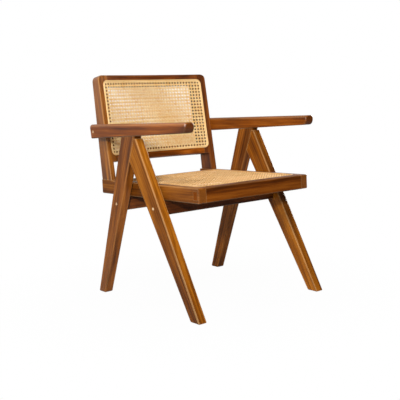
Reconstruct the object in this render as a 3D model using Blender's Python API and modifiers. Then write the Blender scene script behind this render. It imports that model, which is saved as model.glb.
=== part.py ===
"""Cane armchair with compass legs, in oiled hardwood.

Two A-shaped sides, each a front leg and a rear leg under an armrest, are tied by two stretchers.
A seat frame lies on the stretchers, and a bowed back stands on its side rails, held by the armrests.
The seat has one sheet of cane and the back has two, each pressed in with a spline.

Metres, +Z up. The chair faces -Y, and the sitter's right is at -X. The origin is on the floor,
at the middle of the chair's length and width.
"""
import math

import bmesh
import bpy
from mathutils import Matrix, Vector

# Overall
ARM_SPAN = 0.578
FIT_GAP = 0.0003

# Legs, seen from the side: each edge runs straight up from the foot
LEG_SETBACK = 0.003
LEG_THICKNESS = 0.0332
FRONT_FOOT_AHEAD = 0.0332
FRONT_FOOT_DEPTH = 0.0462
FRONT_LEG_TIP_DEPTH = 0.0108
REAR_FOOT_INSIDE = 0.0080
REAR_FOOT_DEPTH = 0.0415
REAR_LEG_TOP_DEPTH = 0.0812
REAR_LEG_TOP_Y = -0.0148
FRONT_LEG_TOP_GAP = 0.009
CROTCH_DROP = 0.0893
LEG_EDGE_ROUND = 0.004

# Armrests
ARM_WIDTH = 0.0395
ARM_FRONT_Y = -0.3052
ARM_PAST_POST = 0.0675
ARM_FRONT_HEIGHT = 0.6357
ARM_REAR_HEIGHT = 0.6198
ARM_FRONT_THICKNESS = 0.0335
ARM_REAR_THICKNESS = 0.0515
ARM_TOP_ROUND = 0.0125
ARM_EDGE_ROUND = 0.003
NOSE_LIP = 0.0142
NOSE_LENGTH = 0.018

# Seat frame, which falls a little to the rear
SEAT_TO_LEG = 0.0053
SEAT_FRONT_Y = -0.3095
SEAT_FRONT_HEIGHT = 0.4266
SEAT_LENGTH = 0.5785
SEAT_FALL = math.radians(1.25)
SEAT_RAIL_HEIGHT = 0.0507
SEAT_SIDE_BORDER = 0.014
SEAT_FRONT_BORDER = 0.015
SEAT_REAR_OPEN = 0.0935
SEAT_REAR_BORDER = 0.016
SEAT_LEDGE = 0.018
SEAT_CORNER_RADIUS = 0.022
SEAT_TOP_ROUND = 0.008
SEAT_EDGE_ROUND = 0.003
ROUND_STOP = 0.004

# Stretchers under the seat
STRETCHER_HEIGHT = 0.050
STRETCHER_THICKNESS = 0.026
STRETCHER_EDGE_ROUND = 0.003

# Back posts, seen from the side
POST_THICKNESS = 0.022
POST_FROM_REAR = -0.002
POST_BASE_DEPTH = 0.066
POST_TOP_DEPTH = 0.0465
POST_LENGTH = 0.3893
POST_LEAN = math.radians(9.3)
POST_TOP_ROUND = 0.018

# Back frame and its panel, measured up the leaning front face from the foot of the posts
BOW_RADIUS = 0.968
BOW_STEPS = 12
POST_FACE = 0.0206
TOP_RAIL_FACE = 0.019
BOTTOM_RAIL_FACE = 0.0218
PANEL_CORNER_RADIUS = 0.020
BOTTOM_RAIL_LOW = 0.0670
SIDE_LEDGE = 0.0225
TOP_LEDGE = 0.0205
BOTTOM_LEDGE = 0.0193
BACK_EDGE_ROUND = 0.004

# Cane and the splines that hold it
RECESS_DEPTH = 0.0042
CANE_THICKNESS = 0.0013
CANE_MARGIN = 0.020
CANE_INSET = 0.0014
CANE_BAR = 0.012
SPLINE_WIDTH = 0.0045
SPLINE_HEIGHT = 0.0021
BACK_GAPS_ACROSS = 11
BACK_GAPS_UP = 7
SEAT_GAPS_ACROSS = 9
SEAT_GAPS_ALONG = 9
CORNER_STEPS = 5

# Joints: tenons, dowels, screws and the plugs that hide them
TENON_THICKNESS = 0.012
TENON_LENGTH = 0.014
SEAT_TENON_HEIGHT = 0.028
SEAT_TENON_DEPTH = 0.020
REAR_TENON_LENGTH = 0.022
DOWEL_RADIUS = 0.005
DOWEL_LENGTH = 0.040
DOWEL_CHAMFER = 0.001
SCREW_HEAD_RADIUS = 0.0040
SCREW_HEAD_HEIGHT = 0.0025
SCREW_SHANK_RADIUS = 0.0022
SCREW_TIP = 0.005
SCREW_BITE = 0.024
SEAT_SCREW_INSET = 0.025
BORE_LEAD = 0.002
PLUG_RADIUS = 0.0048
PLUG_LENGTH = 0.007
ROUND_STEPS = 16

# Places that follow from the sizes above
SEAT_CANE_LENGTH = SEAT_LENGTH - SEAT_FRONT_BORDER - SEAT_REAR_OPEN
POST_BASE_Y = SEAT_FRONT_Y + SEAT_LENGTH * math.cos(SEAT_FALL) - POST_FROM_REAR - POST_BASE_DEPTH
ARM_REAR_Y = POST_BASE_Y + ARM_PAST_POST
ARM_OUTER = ARM_SPAN / 2
ARM_INNER = ARM_OUTER - ARM_WIDTH
LEG_OUTER = ARM_OUTER - LEG_SETBACK
LEG_INNER = LEG_OUTER - LEG_THICKNESS
SEAT_HALF_WIDTH = LEG_INNER - SEAT_TO_LEG
POST_OUTER = ARM_INNER - FIT_GAP
PANEL_HALF_WIDTH = POST_OUTER - POST_FACE
PANEL_BOTTOM = BOTTOM_RAIL_LOW + BOTTOM_RAIL_FACE
PANEL_TOP = POST_LENGTH - TOP_RAIL_FACE
POST_INNER = PANEL_HALF_WIDTH - SIDE_LEDGE
FRONT_FOOT_Y = SEAT_FRONT_Y - FRONT_FOOT_AHEAD
REAR_FOOT_Y = SEAT_FRONT_Y + SEAT_LENGTH - REAR_FOOT_INSIDE
ARM_TOP_SLOPE = (ARM_REAR_HEIGHT - ARM_FRONT_HEIGHT) / (ARM_REAR_Y - ARM_FRONT_Y)
ARM_UNDER_FRONT = ARM_FRONT_HEIGHT - ARM_FRONT_THICKNESS
ARM_UNDER_SLOPE = (ARM_REAR_HEIGHT - ARM_REAR_THICKNESS - ARM_UNDER_FRONT) / (ARM_REAR_Y - ARM_FRONT_Y)
SEAT_SIDE_RAIL = SEAT_SIDE_BORDER + SEAT_LEDGE
SEAT_CANE_REAR = SEAT_FRONT_BORDER + SEAT_CANE_LENGTH
BORE_SLACK = FIT_GAP
COUNTERBORE_RADIUS = PLUG_RADIUS + BORE_SLACK
COUNTERBORE_DEPTH = PLUG_LENGTH + SCREW_HEAD_HEIGHT + 2 * FIT_GAP
SIDES = (("right", -1), ("left", 1))


def clear_scene():
    """Start from an empty scene."""
    for old in list(bpy.data.objects):
        bpy.data.objects.remove(old, do_unlink=True)


def new_collection(name):
    """Make a collection and show it in the scene."""
    made = bpy.data.collections.new(name)
    bpy.context.scene.collection.children.link(made)
    return made


def new_material(name, colour, roughness, metallic=0.0):
    """Make a plain Principled material."""
    made = bpy.data.materials.new(name)
    made.use_nodes = True
    shader = made.node_tree.nodes["Principled BSDF"]
    shader.inputs["Base Color"].default_value = (*colour, 1.0)
    shader.inputs["Roughness"].default_value = roughness
    shader.inputs["Metallic"].default_value = metallic
    return made


clear_scene()
CHAIR = new_collection("cane_armchair")
CUTTERS = new_collection("cutters")
WOOD = new_material("oiled_wood", (0.30, 0.115, 0.030), 0.45)
PLUG_WOOD = new_material("plug_wood", (0.52, 0.27, 0.11), 0.50)
DOWEL_WOOD = new_material("dowel_wood", (0.60, 0.42, 0.24), 0.65)
CANE = new_material("cane", (0.78, 0.56, 0.27), 0.55)
REED = new_material("spline_reed", (0.86, 0.62, 0.30), 0.50)
STEEL = new_material("zinc_steel", (0.62, 0.62, 0.60), 0.35, 1.0)


def new_piece(name, mesh, material, parent=None):
    """Put a mesh in the chair as one sub-part."""
    piece = bpy.data.objects.new(name, mesh)
    CHAIR.objects.link(piece)
    mesh.materials.clear()
    mesh.materials.append(material)
    piece.parent = parent
    return piece


def new_cutter(name, mesh, parent=None):
    """Put a mesh among the cutters, out of the model."""
    cutter = bpy.data.objects.new(name, mesh)
    CUTTERS.objects.link(cutter)
    cutter.hide_render = True
    cutter.display_type = "WIRE"
    cutter.parent = parent
    return cutter


def evaluated_mesh(source):
    """Read an object's mesh as its modifiers leave it."""
    bpy.context.view_layer.update()
    graph = bpy.context.evaluated_depsgraph_get()
    return bpy.data.meshes.new_from_object(source.evaluated_get(graph))


def edit(mesh, change):
    """Run a change on a mesh through bmesh, and turn its faces outwards."""
    shape = bmesh.new()
    shape.from_mesh(mesh)
    change(shape)
    bmesh.ops.recalc_face_normals(shape, faces=shape.faces)
    shape.to_mesh(mesh)
    shape.free()


def outline_mesh(name, outlines, thickness, frame):
    """Extrude closed outlines by a thickness about their plane; those inside the first are holes."""
    curve = bpy.data.curves.new(name, "CURVE")
    curve.dimensions = "2D"
    curve.fill_mode = "BOTH"
    curve.extrude = thickness / 2
    for outline in outlines:
        spline = curve.splines.new("POLY")
        spline.points.add(len(outline) - 1)
        for point, (across, up) in zip(spline.points, outline):
            point.co = (across, up, 0.0, 1.0)
        spline.use_cyclic_u = True
    guide = bpy.data.objects.new(name + "_outline", curve)
    CUTTERS.objects.link(guide)
    mesh = evaluated_mesh(guide)
    bpy.data.objects.remove(guide, do_unlink=True)
    bpy.data.curves.remove(curve)

    def weld(shape):
        bmesh.ops.remove_doubles(shape, verts=shape.verts, dist=1e-6)
        bmesh.ops.dissolve_limit(shape, angle_limit=2e-3, verts=shape.verts, edges=shape.edges)
        bmesh.ops.transform(shape, matrix=frame, verts=shape.verts)

    edit(mesh, weld)
    return mesh


def box_mesh(name, low, high):
    """A box between two corners."""
    mesh = bpy.data.meshes.new(name)
    low, high = Vector(low), Vector(high)
    place = Matrix.Translation((low + high) / 2) @ Matrix.Diagonal((*(high - low), 1.0))
    edit(mesh, lambda shape: bmesh.ops.create_cube(shape, size=1.0, matrix=place))
    return mesh


def round_edges(mesh, radius, steps, chosen):
    """Round the edges that pass a test."""

    def bevel(shape):
        edges = [edge for edge in shape.edges if chosen(edge)]
        bmesh.ops.bevel(
            shape, geom=edges, offset=radius, offset_type="OFFSET", segments=steps, profile=0.5,
            affect="EDGES", clamp_overlap=True,
        )

    edit(mesh, bevel)


def sharp(edge):
    """True for a corner, and not for a line inside a rounding."""
    return edge.calc_face_angle(0.0) > math.radians(35)


def ends_pass(edge, test):
    """True if both ends of an edge pass a test."""
    return all(test(vertex.co) for vertex in edge.verts)


def near(value, target):
    """True if two places are the same, to a hundredth of a millimetre."""
    return abs(value - target) < 1e-5


def cut(piece, cutter):
    """Take a cutter's volume out of a piece."""
    modifier = piece.modifiers.new("cut_" + cutter.name, "BOOLEAN")
    modifier.operation = "DIFFERENCE"
    modifier.object = cutter


def settle(piece):
    """Make a piece's cuts part of its mesh."""
    mesh = evaluated_mesh(piece)
    old = piece.data
    piece.modifiers.clear()
    piece.data = mesh
    bpy.data.meshes.remove(old)


def bore(piece, start, direction, radius, depth):
    """Drill a round hole from a point on the surface, along a direction."""
    direction = Vector(direction).normalized()
    mesh = bpy.data.meshes.new(piece.name + "_bore")
    centre = Vector(start) + direction * ((depth - BORE_LEAD) / 2)
    turn = direction.to_track_quat("Z", "Y").to_matrix().to_4x4()
    place = Matrix.Translation(centre) @ turn
    edit(mesh, lambda shape: bmesh.ops.create_cone(
        shape, cap_ends=True, segments=ROUND_STEPS, radius1=radius, radius2=radius,
        depth=depth + BORE_LEAD, matrix=place,
    ))
    cut(piece, new_cutter(mesh.name, mesh))


def turned(name, profile, material, place, direction):
    """Turn a profile of (radius, height) points, listed from the top down, and point it somewhere."""
    mesh = bpy.data.meshes.new(name)
    points = [(radius, 0.0, height) for radius, height in profile]
    mesh.from_pydata(points, [(i, i + 1) for i in range(len(points) - 1)], [])
    piece = new_piece(name, mesh, material)
    piece.location = place
    piece.rotation_euler = Vector(direction).to_track_quat("Z", "Y").to_euler()
    screw = piece.modifiers.new("turn", "SCREW")
    screw.steps = ROUND_STEPS
    screw.render_steps = ROUND_STEPS
    screw.use_merge_vertices = True
    screw.merge_threshold = 0.00001
    screw.use_smooth_shade = True
    return piece


def dowel(name, centre, direction):
    """A plain dowel with chamfered ends."""
    half = DOWEL_LENGTH / 2
    shoulder = half - DOWEL_CHAMFER
    tip = DOWEL_RADIUS - DOWEL_CHAMFER
    profile = [(0.0, half), (tip, half), (DOWEL_RADIUS, shoulder)]
    profile += [(radius, -height) for radius, height in reversed(profile)]
    return turned(name, profile, DOWEL_WOOD, centre, direction)


def bore_for_dowel(piece, centre, direction):
    """Drill a piece for the half of a dowel that goes into it along a direction."""
    reach = DOWEL_LENGTH / 2 + FIT_GAP
    bore(piece, centre, direction, DOWEL_RADIUS + BORE_SLACK, reach)


def screw_and_plug(stem, face, inward, bored, taken, grip):
    """Fasten a bored piece to the one behind it with a sunk screw under a wooden plug."""
    inward = Vector(inward)
    face = Vector(face)
    seat = face + inward * COUNTERBORE_DEPTH
    length = grip - COUNTERBORE_DEPTH + SCREW_BITE
    shank = SCREW_SHANK_RADIUS
    top = SCREW_HEAD_HEIGHT + FIT_GAP
    profile = [
        (0.0, top), (SCREW_HEAD_RADIUS, top), (SCREW_HEAD_RADIUS, FIT_GAP), (shank, FIT_GAP),
        (shank, SCREW_TIP - length), (0.0, -length),
    ]
    turned(stem + "_screw", profile, STEEL, seat, -inward)
    plug = [(0.0, 0.0), (PLUG_RADIUS, 0.0), (PLUG_RADIUS, -PLUG_LENGTH), (0.0, -PLUG_LENGTH)]
    turned(stem + "_plug", plug, PLUG_WOOD, face, -inward)
    bore(bored, face, inward, COUNTERBORE_RADIUS, COUNTERBORE_DEPTH)
    bore(bored, seat, inward, shank + BORE_SLACK, grip - COUNTERBORE_DEPTH + FIT_GAP)
    bore(taken, face + inward * grip, inward, shank + BORE_SLACK, SCREW_BITE + FIT_GAP)


def side_frame(x):
    """The frame of an outline drawn in a side plane: its axes are +Y, +Z and +X."""
    turn = Matrix(((0, 0, 1, x), (1, 0, 0, 0), (0, 1, 0, 0), (0, 0, 0, 1)))
    return turn


# Lines of the side view
def arm_top(y):
    """Height of the armrest's top."""
    return ARM_FRONT_HEIGHT + ARM_TOP_SLOPE * (y - ARM_FRONT_Y)


def arm_under(y):
    """Height of the armrest's underside."""
    return ARM_UNDER_FRONT + ARM_UNDER_SLOPE * (y - ARM_FRONT_Y)


def seat_top(y):
    """Height of the seat frame's top."""
    return SEAT_FRONT_HEIGHT - math.tan(SEAT_FALL) * (y - SEAT_FRONT_Y)


def under_arm_point(foot_y, lean):
    """Where a leg's edge meets the armrest's underside, with the fitting gap left below it."""
    level = arm_under(0.0) - FIT_GAP
    height = (level + ARM_UNDER_SLOPE * foot_y) / (1.0 - ARM_UNDER_SLOPE * lean)
    return foot_y + lean * height, height


FRONT_LEG_BACK_FOOT = FRONT_FOOT_Y + FRONT_FOOT_DEPTH
REAR_LEG_FRONT_FOOT = REAR_FOOT_Y - REAR_FOOT_DEPTH
REAR_LEG_TOP_REAR_Y = REAR_LEG_TOP_Y + REAR_LEG_TOP_DEPTH
REAR_LEG_FRONT_LEAN = (REAR_LEG_TOP_Y - REAR_LEG_FRONT_FOOT) / arm_under(REAR_LEG_TOP_Y)
REAR_LEG_REAR_LEAN = (REAR_LEG_TOP_REAR_Y - REAR_FOOT_Y) / arm_under(REAR_LEG_TOP_REAR_Y)


def butt_line(height):
    """The line on which the front leg butts against the rear leg."""
    return REAR_LEG_FRONT_FOOT - FIT_GAP + REAR_LEG_FRONT_LEAN * height


FRONT_LEG_TOP = arm_under(REAR_LEG_TOP_Y) - FRONT_LEG_TOP_GAP
CROTCH_HEIGHT = arm_under(REAR_LEG_TOP_Y) - CROTCH_DROP
FRONT_LEG_TIP_Y = butt_line(FRONT_LEG_TOP) - FRONT_LEG_TIP_DEPTH
FRONT_LEG_FRONT_LEAN = (FRONT_LEG_TIP_Y - FRONT_FOOT_Y) / FRONT_LEG_TOP
FRONT_LEG_REAR_LEAN = (butt_line(CROTCH_HEIGHT) - FRONT_LEG_BACK_FOOT) / CROTCH_HEIGHT


def leg(name, sign, outline, flush):
    """One leg from its outline in the side view, rounded but for the edges on flush faces."""
    middle = sign * (LEG_OUTER - LEG_THICKNESS / 2)
    mesh = outline_mesh(name, [outline], LEG_THICKNESS, side_frame(middle))
    round_edges(mesh, LEG_EDGE_ROUND, 2, lambda edge: sharp(edge) and not ends_pass(edge, flush))
    return new_piece(name, mesh, WOOD)


def front_leg(name, sign):
    """A front leg: it butts against the rear leg and stops short of the armrest."""
    outline = [
        (FRONT_FOOT_Y, 0.0), (FRONT_LEG_BACK_FOOT, 0.0), (butt_line(CROTCH_HEIGHT), CROTCH_HEIGHT),
        (butt_line(FRONT_LEG_TOP), FRONT_LEG_TOP),
        (FRONT_LEG_TIP_Y, FRONT_LEG_TOP),
    ]
    return leg(name, sign, outline, lambda place: place.z > CROTCH_HEIGHT - 1e-5)


def rear_leg(name, sign):
    """A rear leg, whose wide top carries the armrest."""
    outline = [
        (REAR_FOOT_Y, 0.0), under_arm_point(REAR_FOOT_Y, REAR_LEG_REAR_LEAN),
        under_arm_point(REAR_LEG_FRONT_FOOT, REAR_LEG_FRONT_LEAN), (REAR_LEG_FRONT_FOOT, 0.0),
    ]
    return leg(name, sign, outline, lambda place: place.z > CROTCH_HEIGHT)


def armrest(name, sign):
    """An armrest: round over the top, thinner to the front, with a nose that is cut away below."""
    rear_slant = math.tan(POST_LEAN) * ARM_REAR_THICKNESS
    nose_top = arm_top(ARM_FRONT_Y) - NOSE_LIP
    nose_end = ARM_FRONT_Y + NOSE_LENGTH
    nose_low = arm_under(nose_end)
    outline = [(ARM_REAR_Y, arm_top(ARM_REAR_Y)), (ARM_FRONT_Y, arm_top(ARM_FRONT_Y))]
    for step in range(CORNER_STEPS + 1):
        angle = math.pi / 2 * step / CORNER_STEPS
        y = nose_end - NOSE_LENGTH * math.cos(angle)
        outline.append((y, nose_top - (nose_top - nose_low) * math.sin(angle)))
    heel = ARM_REAR_Y - rear_slant
    outline.append((heel, arm_under(heel)))
    middle = sign * (ARM_OUTER + ARM_INNER) / 2
    mesh = outline_mesh(name, [outline], ARM_WIDTH, side_frame(middle))

    def on_top(place):
        return near(place.z, arm_top(place.y))

    def long_top(edge):
        return ends_pass(edge, on_top) and near(edge.verts[0].co.x, edge.verts[1].co.x)

    round_edges(mesh, ARM_TOP_ROUND, 4, long_top)
    round_edges(mesh, ARM_EDGE_ROUND, 1, sharp)
    return new_piece(name, mesh, WOOD)


# The back, drawn flat and then bowed
def front_face(rise):
    """A point on the back's flat front face, some way up from the foot of the posts: (y, z)."""
    base = seat_top(POST_BASE_Y)
    return POST_BASE_Y + rise * math.sin(POST_LEAN), base + rise * math.cos(POST_LEAN)


def rear_face(rise):
    """The point behind it on the back's rear face."""
    depth = POST_BASE_DEPTH + (POST_TOP_DEPTH - POST_BASE_DEPTH) * rise / POST_LENGTH
    y, z = front_face(rise)
    return y + depth * math.cos(POST_LEAN), z - depth * math.sin(POST_LEAN)


def rise_of(place):
    """How far up the back a point lies, measured along the posts."""
    base = front_face(0.0)
    return (place.y - base[0]) * math.sin(POST_LEAN) + (place.z - base[1]) * math.cos(POST_LEAN)


def face_plane(lower, upper):
    """The frame of a leaning face through two of its points: its axes are +X, up the face and out of it."""
    up = Vector((0.0, upper[0] - lower[0], upper[1] - lower[1])).normalized()
    out = Vector((1.0, 0.0, 0.0)).cross(up)
    columns = (Vector((1.0, 0.0, 0.0)), up, out, Vector((0.0, *lower)))
    return Matrix([[*(column[row] for column in columns)] for row in range(3)] + [[0, 0, 0, 1]])


FRONT_PLANE = face_plane(front_face(0.0), front_face(POST_LENGTH))
REAR_PLANE = face_plane(rear_face(0.0), rear_face(POST_LENGTH)) @ Matrix.Rotation(math.pi, 4, "Y")


def bow(x):
    """How far behind the posts the bowed back lies."""
    return math.sqrt(BOW_RADIUS**2 - x**2) - math.sqrt(BOW_RADIUS**2 - PANEL_HALF_WIDTH**2)


def bow_mesh(mesh):
    """Move each point of a flat piece back to where the bow puts it."""

    def shift(shape):
        for vertex in shape.verts:
            vertex.co.y += bow(vertex.co.x)
        bmesh.ops.triangulate(shape, faces=shape.faces)

    edit(mesh, shift)


def bend(mesh):
    """Bow a flat piece of the back, after slicing it so that it can follow the curve."""

    def slice_up(shape):
        for step in range(1, BOW_STEPS):
            x = PANEL_HALF_WIDTH * (2 * step / BOW_STEPS - 1)
            parts = [*shape.verts, *shape.edges, *shape.faces]
            bmesh.ops.bisect_plane(shape, geom=parts, dist=1e-6, plane_co=(x, 0, 0), plane_no=(1, 0, 0))

    edit(mesh, slice_up)
    bow_mesh(mesh)


def rounded_rectangle(left, right, low, high, radius):
    """A rectangle with round corners, as points in order."""
    corners = ((right, high, 0), (left, high, 1), (left, low, 2), (right, low, 3))
    points = []
    for x, y, quarter in corners:
        centre_x = x - math.copysign(radius, x - (left + right) / 2)
        centre_y = y - math.copysign(radius, y - (low + high) / 2)
        for step in range(CORNER_STEPS + 1):
            angle = math.pi / 2 * (quarter + step / CORNER_STEPS)
            points.append((centre_x + radius * math.cos(angle), centre_y + radius * math.sin(angle)))
    return points


def lines_of_net(low, high, gaps):
    """The places of a net's lines one way: its edge, then both sides of each gap, then its other edge."""
    gap = (high - low - 2 * CANE_MARGIN - (gaps - 1) * CANE_BAR) / gaps
    lines = [low]
    for number in range(gaps):
        start = low + CANE_MARGIN + number * (gap + CANE_BAR)
        lines += [start, start + gap]
    return lines + [high]


def net_mesh(name, left, right, low, high, radius, gaps_across, gaps_up, frame):
    """A sheet of cane as an open net: a grid of bars with its gaps taken out and its corners drawn in."""
    across = lines_of_net(left, right, gaps_across)
    up = lines_of_net(low, high, gaps_up)
    drawn_in = radius * (1.0 - math.sqrt(0.5))
    mesh = bpy.data.meshes.new(name)

    def weave(shape):
        bmesh.ops.create_grid(shape, x_segments=len(across) - 1, y_segments=len(up) - 1, size=1.0)
        gaps = []
        for face in shape.faces:
            centre = face.calc_center_median()
            column = int((centre.x + 1.0) / 2.0 * (len(across) - 1))
            row = int((centre.y + 1.0) / 2.0 * (len(up) - 1))
            if column % 2 and row % 2:
                gaps.append(face)
        for vertex in shape.verts:
            column = round((vertex.co.x + 1.0) / 2.0 * (len(across) - 1))
            row = round((vertex.co.y + 1.0) / 2.0 * (len(up) - 1))
            corner = column in (0, len(across) - 1) and row in (0, len(up) - 1)
            inset = drawn_in if corner else 0.0
            vertex.co.x = across[column] + (inset if column == 0 else -inset)
            vertex.co.y = up[row] + (inset if row == 0 else -inset)
        bmesh.ops.delete(shape, geom=gaps, context="FACES_ONLY")
        bmesh.ops.solidify(shape, geom=shape.faces, thickness=CANE_THICKNESS)
        lowest = min(vertex.co.z for vertex in shape.verts)
        bmesh.ops.translate(shape, verts=shape.verts, vec=(0.0, 0.0, -lowest))
        bmesh.ops.transform(shape, matrix=frame, verts=shape.verts)

    edit(mesh, weave)
    return mesh


def spline_outlines(left, right, low, high, radius):
    """The ring of reed round a sheet of cane."""
    width = SPLINE_WIDTH
    outer = rounded_rectangle(left, right, low, high, radius)
    inner = rounded_rectangle(left + width, right - width, low + width, high - width, radius - width)
    return [outer, inner]


def shifted(frame, height):
    """A frame moved out along its third axis."""
    return frame @ Matrix.Translation((0.0, 0.0, height))


def inset_place(left, right, low, high, inset):
    """The sides of a rectangle drawn in by an inset."""
    return left + inset, right - inset, low + inset, high - inset


def panel_recess(name, plane):
    """The shallow recess for a sheet of cane, as a cutter."""
    edge = rounded_rectangle(
        -PANEL_HALF_WIDTH, PANEL_HALF_WIDTH, PANEL_BOTTOM, PANEL_TOP, PANEL_CORNER_RADIUS
    )
    return new_cutter(name, outline_mesh(name, [edge], 2 * RECESS_DEPTH, plane))


def panel_cane(stem, plane):
    """A sheet of cane in its recess, and the spline over its edge."""
    floor = -RECESS_DEPTH + FIT_GAP
    place = inset_place(-PANEL_HALF_WIDTH, PANEL_HALF_WIDTH, PANEL_BOTTOM, PANEL_TOP, CANE_INSET)
    level = shifted(plane, floor)
    mesh = net_mesh(stem + "_cane", *place, PANEL_CORNER_RADIUS, BACK_GAPS_ACROSS, BACK_GAPS_UP, level)
    bow_mesh(mesh)
    new_piece(stem + "_cane", mesh, CANE)
    place = inset_place(-PANEL_HALF_WIDTH, PANEL_HALF_WIDTH, PANEL_BOTTOM, PANEL_TOP, 2 * FIT_GAP)
    level = shifted(plane, floor + CANE_THICKNESS + FIT_GAP + SPLINE_HEIGHT / 2)
    rings = spline_outlines(*place, PANEL_CORNER_RADIUS - 2 * FIT_GAP)
    mesh = outline_mesh(stem + "_spline", rings, SPLINE_HEIGHT, level)
    bend(mesh)
    new_piece(stem + "_spline", mesh, REED)


def rail_tenon_span(low, high):
    """Where a back rail's tenon lies in its height."""
    third = (high - low) / 4
    return low + third, high - third


def tenon_outline(low, high, slack):
    """The tenon of a back rail, seen from the end: in the middle of the back's depth."""
    low, high = rail_tenon_span(low, high)
    corners = []
    for rise, side in ((low, -1), (low, 1), (high, 1), (high, -1)):
        front, rear = Vector(front_face(rise)), Vector(rear_face(rise))
        across = (rear - front).normalized()
        upward = Vector((math.sin(POST_LEAN), math.cos(POST_LEAN)))
        stretch = slack if rise == high else -slack
        reach = side * (TENON_THICKNESS / 2 + slack)
        corners.append(tuple((front + rear) / 2 + across * reach + upward * stretch))
    return corners


def back_rail(name, low, high, recesses, free):
    """A rail between the posts, with a tenon at each end."""
    half = POST_INNER - FIT_GAP
    outline = [front_face(low), rear_face(low), rear_face(high), front_face(high)]
    mesh = outline_mesh(name, [outline], 2 * half, side_frame(0.0))

    def free_edge(edge):
        return sharp(edge) and ends_pass(edge, lambda place: near(rise_of(place), free_rise(place)))

    def free_rise(place):
        return free if abs(rise_of(place) - free) < (high - low) / 2 else -1.0

    round_edges(mesh, BACK_EDGE_ROUND, 2, free_edge)
    rail = new_piece(name, mesh, WOOD)
    for recess in recesses:
        cut(rail, recess)
    length = 2 * (half + TENON_LENGTH)
    tongue = outline_mesh(name + "_tenon", [tenon_outline(low, high, 0.0)], length, side_frame(0.0))
    join = rail.modifiers.new("tenon", "BOOLEAN")
    join.operation = "UNION"
    join.object = new_cutter(name + "_tenon", tongue)
    settle(rail)
    bend(rail.data)
    return rail


def back_post(name, sign, recesses):
    """A post: slim below the panel, and wide enough beside it to carry the cane."""
    foot_rear = POST_BASE_Y + POST_BASE_DEPTH
    outline = [
        (POST_BASE_Y, seat_top(POST_BASE_Y) + FIT_GAP), (foot_rear, seat_top(foot_rear) + FIT_GAP),
        rear_face(POST_LENGTH), front_face(POST_LENGTH),
    ]
    width = POST_OUTER - POST_INNER
    middle = sign * (POST_OUTER + POST_INNER) / 2
    mesh = outline_mesh(name, [outline], width, side_frame(middle))

    def top_corner(edge):
        return ends_pass(edge, lambda place: near(abs(place.x), POST_OUTER) and is_top(place))

    def is_top(place):
        return abs(rise_of(place) - POST_LENGTH) < 1e-4

    def free_edge(edge):
        inside = ends_pass(edge, lambda place: near(abs(place.x), POST_INNER))
        foot = ends_pass(edge, lambda place: rise_of(place) < POST_LENGTH / 2)
        return sharp(edge) and not inside and not foot

    round_edges(mesh, POST_TOP_ROUND, 4, top_corner)
    round_edges(mesh, BACK_EDGE_ROUND, 2, free_edge)
    post = new_piece(name, mesh, WOOD)
    slim = sign * (POST_OUTER - POST_THICKNESS)
    inside = sign * (POST_INNER - SIDE_LEDGE)
    span = POST_BASE_DEPTH * 2
    step_low, step_high = front_face(-span), front_face(BOTTOM_RAIL_LOW)
    tilt = math.sin(POST_LEAN) * span
    waste = [
        (step_low[0] - span, step_low[1]), (step_low[0] + span, step_low[1]),
        (step_high[0] + span, step_high[1] - tilt), (step_high[0] - span, step_high[1] + tilt),
    ]
    notch = outline_mesh(
        name + "_notch", [waste], abs(slim - inside), side_frame((slim + inside) / 2)
    )
    cut(post, new_cutter(name + "_notch", notch))
    for recess in recesses:
        cut(post, recess)
    for low, high in RAIL_SPANS:
        reach = POST_INNER + TENON_LENGTH + FIT_GAP
        hole = outline_mesh(
            name + "_mortise", [tenon_outline(low, high, FIT_GAP)], 2 * reach, side_frame(0.0)
        )
        cut(post, new_cutter(name + "_mortise", hole))
    settle(post)
    bend(post.data)
    return post


RAIL_SPANS = ((BOTTOM_RAIL_LOW, PANEL_BOTTOM + BOTTOM_LEDGE), (PANEL_TOP - TOP_LEDGE, POST_LENGTH))


# The seat frame, drawn level in the frame of an empty that tilts it
def is_front_top(place):
    """True on the top front edge of the seat frame."""
    return near(place.y, 0.0) and near(place.z, 0.0)


def is_front_low(place):
    """True on the bottom front edge of the seat frame."""
    return near(place.y, 0.0) and near(place.z, -SEAT_RAIL_HEIGHT)


def side_seat_rail(name, sign, inner, datum):
    """A side rail: round along its top as far as the back post that stands on it."""
    x = sorted((sign * inner, sign * SEAT_HALF_WIDTH))
    mesh = box_mesh(name, (x[0], 0.0, -SEAT_RAIL_HEIGHT), (x[1], SEAT_LENGTH, 0.0))
    stop = (POST_BASE_Y + bow(POST_OUTER) - SEAT_FRONT_Y) / math.cos(SEAT_FALL) - ROUND_STOP

    def split(shape):
        parts = [*shape.verts, *shape.edges, *shape.faces]
        bmesh.ops.bisect_plane(shape, geom=parts, dist=1e-6, plane_co=(0, stop, 0), plane_no=(0, 1, 0))

    def is_outer(place):
        return near(abs(place.x), SEAT_HALF_WIDTH)

    def is_round_top(place):
        return is_outer(place) and near(place.z, 0.0) and place.y < stop + 1e-5

    def top(edge):
        return ends_pass(edge, is_round_top) or ends_pass(edge, is_front_top)

    def lower(edge):
        low = ends_pass(edge, lambda place: is_outer(place) and near(place.z, -SEAT_RAIL_HEIGHT))
        corner = ends_pass(edge, lambda place: is_outer(place) and near(place.y, 0.0))
        return sharp(edge) and (low or corner or ends_pass(edge, is_front_low))

    edit(mesh, split)
    round_edges(mesh, SEAT_TOP_ROUND, 3, top)
    round_edges(mesh, SEAT_EDGE_ROUND, 1, lower)
    return new_piece(name, mesh, WOOD, datum)


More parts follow.
